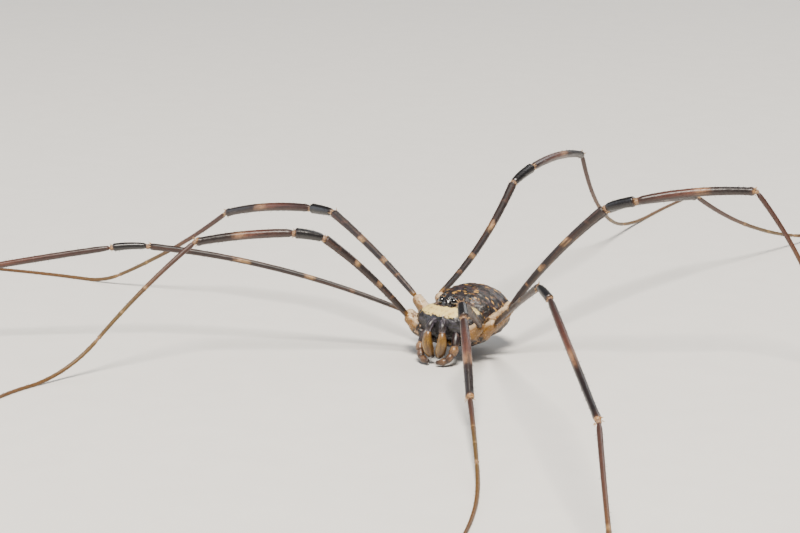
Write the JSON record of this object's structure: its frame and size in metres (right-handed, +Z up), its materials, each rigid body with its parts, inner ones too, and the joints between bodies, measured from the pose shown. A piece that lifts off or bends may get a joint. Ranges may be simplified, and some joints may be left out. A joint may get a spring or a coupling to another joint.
{
  "type": "harvestman",
  "caption": "Life-size model of a long-legged harvestman standing still, its small rounded body held low between eight thin arched legs.",
  "frame": {"origin": "on the ground under the middle of the spread of the feet", "axes": "+Z up, the animal faces -Y and its left side is +X"},
  "size_m": [0.1108, 0.1174, 0.0115],
  "materials": {
    "shell": "finely bumpy dark brown shell with cream flecks",
    "carapace": "bumpy shell with a cream band along its front",
    "eye": "glossy black",
    "jaw": "smooth ochre shell",
    "coxa": "bumpy orange-yellow shell",
    "leg": "dark brown shell with cream rings",
    "foot": "dull ochre-brown shell"
  },
  "bodies": {
    "root": {"abdomen": "shell", "carapace": "carapace", "eye_left": "eye", "eye_mound": "eye", "eye_right": "eye", "jaw_left": "jaw", "jaw_right": "jaw", "leg_left_1_coxa": "coxa", "leg_left_1_femur": "leg", "leg_left_1_metatarsus": "leg", "leg_left_1_patella": "leg", "leg_left_1_tarsus": "foot", "leg_left_1_tibia": "leg", "leg_left_2_coxa": "coxa", "leg_left_2_femur": "leg", "leg_left_2_metatarsus": "leg", "leg_left_2_patella": "leg", "leg_left_2_tarsus": "foot", "leg_left_2_tibia": "leg", "leg_left_3_coxa": "coxa", "leg_left_3_femur": "leg", "leg_left_3_metatarsus": "leg", "leg_left_3_patella": "leg", "leg_left_3_tarsus": "foot", "leg_left_3_tibia": "leg", "leg_left_4_coxa": "coxa", "leg_left_4_femur": "leg", "leg_left_4_metatarsus": "leg", "leg_left_4_patella": "leg", "leg_left_4_tarsus": "foot", "leg_left_4_tibia": "leg", "leg_right_1_coxa": "coxa", "leg_right_1_femur": "leg", "leg_right_1_metatarsus": "leg", "leg_right_1_patella": "leg", "leg_right_1_tarsus": "foot", "leg_right_1_tibia": "leg", "leg_right_2_coxa": "coxa", "leg_right_2_femur": "leg", "leg_right_2_metatarsus": "leg", "leg_right_2_patella": "leg", "leg_right_2_tarsus": "foot", "leg_right_2_tibia": "leg", "leg_right_3_coxa": "coxa", "leg_right_3_femur": "leg", "leg_right_3_metatarsus": "leg", "leg_right_3_patella": "leg", "leg_right_3_tarsus": "foot", "leg_right_3_tibia": "leg", "leg_right_4_coxa": "coxa", "leg_right_4_femur": "leg", "leg_right_4_metatarsus": "leg", "leg_right_4_patella": "leg", "leg_right_4_tarsus": "foot", "leg_right_4_tibia": "leg", "palp_left_lower": "jaw", "palp_left_upper": "jaw", "palp_right_lower": "jaw", "palp_right_upper": "jaw"}
  },
  "joints": []
}
